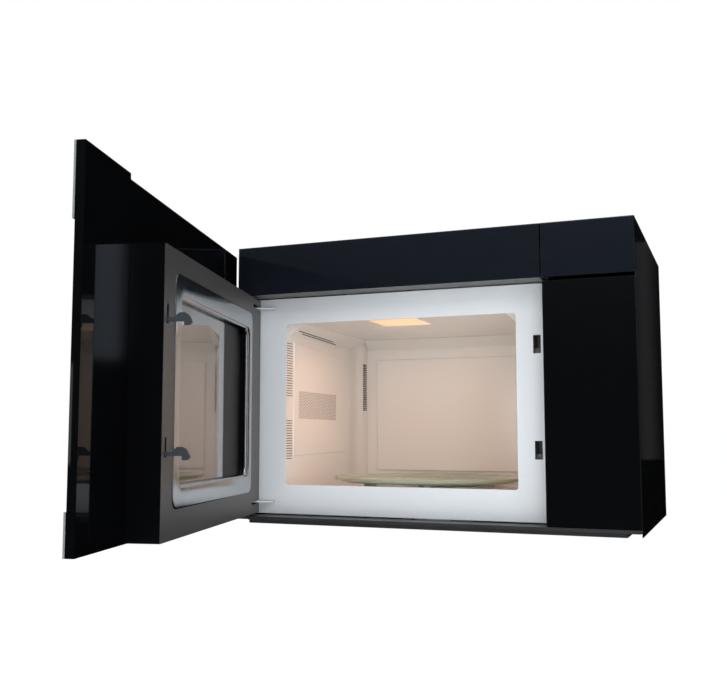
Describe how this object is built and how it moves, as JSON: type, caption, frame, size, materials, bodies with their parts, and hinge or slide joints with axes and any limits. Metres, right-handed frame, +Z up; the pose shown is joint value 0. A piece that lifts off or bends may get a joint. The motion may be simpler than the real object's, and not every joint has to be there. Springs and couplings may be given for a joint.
{
  "type": "over the range microwave",
  "caption": "Hood-type microwave oven for mounting over a range, with side-hinged full-front door, turntable, vent blower, filters and cooktop lamp.",
  "frame": {"origin": "centre of the rear face of the wall mounting plate", "axes": "+Z up, +Y towards the wall, +X to the right as seen from the front; the front faces -Y"},
  "size_m": [0.6374, 0.9839, 0.456],
  "materials": {
    "black_enamel": "gloss",
    "fascia_gloss": "gloss, blue-black",
    "door_gloss": "gloss",
    "black_plastic": "satin",
    "grey_plastic": "satin",
    "white_enamel": "gloss",
    "oven_enamel": "satin",
    "pan_paint": "fine texture",
    "bright_trim": "polished",
    "sheet_steel": "galvanised",
    "dark_steel": "varnished",
    "aluminium": "mill",
    "clear_glass": "clear, slightly green",
    "window_glass": "clear",
    "black_glass": "back-printed black",
    "white_plastic": "satin",
    "lamp": "lit",
    "mica": "mica sheet",
    "board": "solder mask",
    "carbon": "charcoal grains in mesh"
  },
  "bodies": {
    "cabinet": {"outer_wrapper": "black_enamel", "back_plate": "sheet_steel", "wall_plate": "sheet_steel", "base_plate": "sheet_steel", "hood_underside": "black_plastic", "cooktop_lens": "clear_glass", "cooktop_lamp": "lamp", "fascia_left": "fascia_gloss", "fascia_right": "fascia_gloss", "fascia_floor": "grey_plastic", "control_bay_cover": "door_gloss", "sill_trim": "black_plastic", "charcoal_filter": "carbon", "front_frame": "white_enamel", "oven_cavity": "oven_enamel", "lamp_screen": "oven_enamel", "lamp_housing": "sheet_steel", "oven_bulb": "lamp", "waveguide": "aluminium", "waveguide_cover": "mica", "magnetron": "aluminium", "hv_transformer": "dark_steel", "hv_capacitor": "aluminium", "power_board": "board", "fan_shroud": "sheet_steel", "fan_motor": "dark_steel", "blower_housing_left": "sheet_steel", "blower_housing_right": "sheet_steel", "blower_motor": "dark_steel", "exhaust_adaptor": "sheet_steel", "turntable_motor": "sheet_steel", "latch_board": "white_plastic", "interlock_switch_lower": "black_plastic", "interlock_switches_upper": "black_plastic", "hinge_bracket_upper": "white_enamel", "hinge_bracket_lower": "white_enamel", "cord_gland": "black_plastic"},
    "door": {"door_glass": "black_glass", "door_frame": "door_gloss", "door_pan": "pan_paint", "window_bezel": "bright_trim", "inner_glass": "window_glass", "perforated_screen": "dark_steel", "touch_panel": "black_plastic", "hinge_bush_upper": "black_plastic", "hinge_bush_lower": "black_plastic", "latch_guide": "white_plastic", "latch_spring": "sheet_steel"},
    "latch": {"latch_lever": "black_plastic"},
    "tray": {"glass_tray": "clear_glass", "tray_coupler": "white_plastic"},
    "ring": {"roller_ring": "white_plastic"},
    "wheel_1": {"roller_1": "white_plastic"},
    "wheel_2": {"roller_2": "white_plastic"},
    "wheel_3": {"roller_3": "white_plastic"},
    "blower_wheels": {"vent_rotor": "black_plastic"},
    "cooling_fan": {"cooling_fan_blade": "black_plastic"},
    "damper": {"damper_flap": "sheet_steel"},
    "filter_left": {"grease_filter_left": "aluminium"},
    "filter_right": {"grease_filter_right": "aluminium"}
  },
  "joints": [
    {"name": "door_swing", "type": "hinge", "parent": "cabinet", "child": "door", "pos_m": [-0.291, -0.398, 0], "axis": [0, 0, -1], "range_deg": [-75.7, 19.3]},
    {"name": "latch_lift", "type": "slide", "parent": "door", "child": "latch", "axis": [0, 0, 1], "range_m": [0, 0.005], "stiffness_N_per_m": 300, "springref_m": -0.006, "deforming": ["latch_spring"]},
    {"name": "tray_spin", "type": "hinge", "parent": "cabinet", "child": "tray", "pos_m": [-0.05215, -0.22055, -0.156], "axis": [0, 0, 1], "continuous": true},
    {"name": "ring_spin", "type": "hinge", "parent": "cabinet", "child": "ring", "pos_m": [-0.05215, -0.22055, -0.1625], "axis": [0, 0, 1], "continuous": true},
    {"name": "wheel_1_spin", "type": "hinge", "parent": "ring", "child": "wheel_1", "pos_m": [-0.02062, -0.32698, -0.1625], "axis": [0.284, -0.9588, 0], "continuous": true},
    {"name": "wheel_2_spin", "type": "hinge", "parent": "ring", "child": "wheel_2", "pos_m": [0.02426, -0.14003, -0.1625], "axis": [0.6884, 0.7254, 0], "continuous": true},
    {"name": "wheel_3_spin", "type": "hinge", "parent": "ring", "child": "wheel_3", "pos_m": [-0.16008, -0.19464, -0.1625], "axis": [-0.9724, 0.2334, 0], "continuous": true},
    {"name": "blower_spin", "type": "hinge", "parent": "cabinet", "child": "blower_wheels", "pos_m": [0, -0.062, 0.1502], "axis": [1, 0, 0], "continuous": true},
    {"name": "fan_spin", "type": "hinge", "parent": "cabinet", "child": "cooling_fan", "pos_m": [0.2405, -0.078, -0.0433], "axis": [0, 1, 0], "continuous": true},
    {"name": "damper_swing", "type": "hinge", "parent": "cabinet", "child": "damper", "pos_m": [0, -0.0865, 0.23], "axis": [1, 0, 0], "range_deg": [0, 80]},
    {"name": "filter_left_slide", "type": "slide", "parent": "cabinet", "child": "filter_left", "axis": [0, 1, 0], "range_m": [0, 0.01]},
    {"name": "filter_right_slide", "type": "slide", "parent": "cabinet", "child": "filter_right", "axis": [0, 1, 0], "range_m": [0, 0.01]}
  ],
  "couplings": [
    {"joint": "ring_spin", "follows": "tray_spin", "ratio": 0.5},
    {"joint": "wheel_1_spin", "follows": "tray_spin", "ratio": -8.5385},
    {"joint": "wheel_2_spin", "follows": "tray_spin", "ratio": -8.5385},
    {"joint": "wheel_3_spin", "follows": "tray_spin", "ratio": -8.5385}
  ]
}
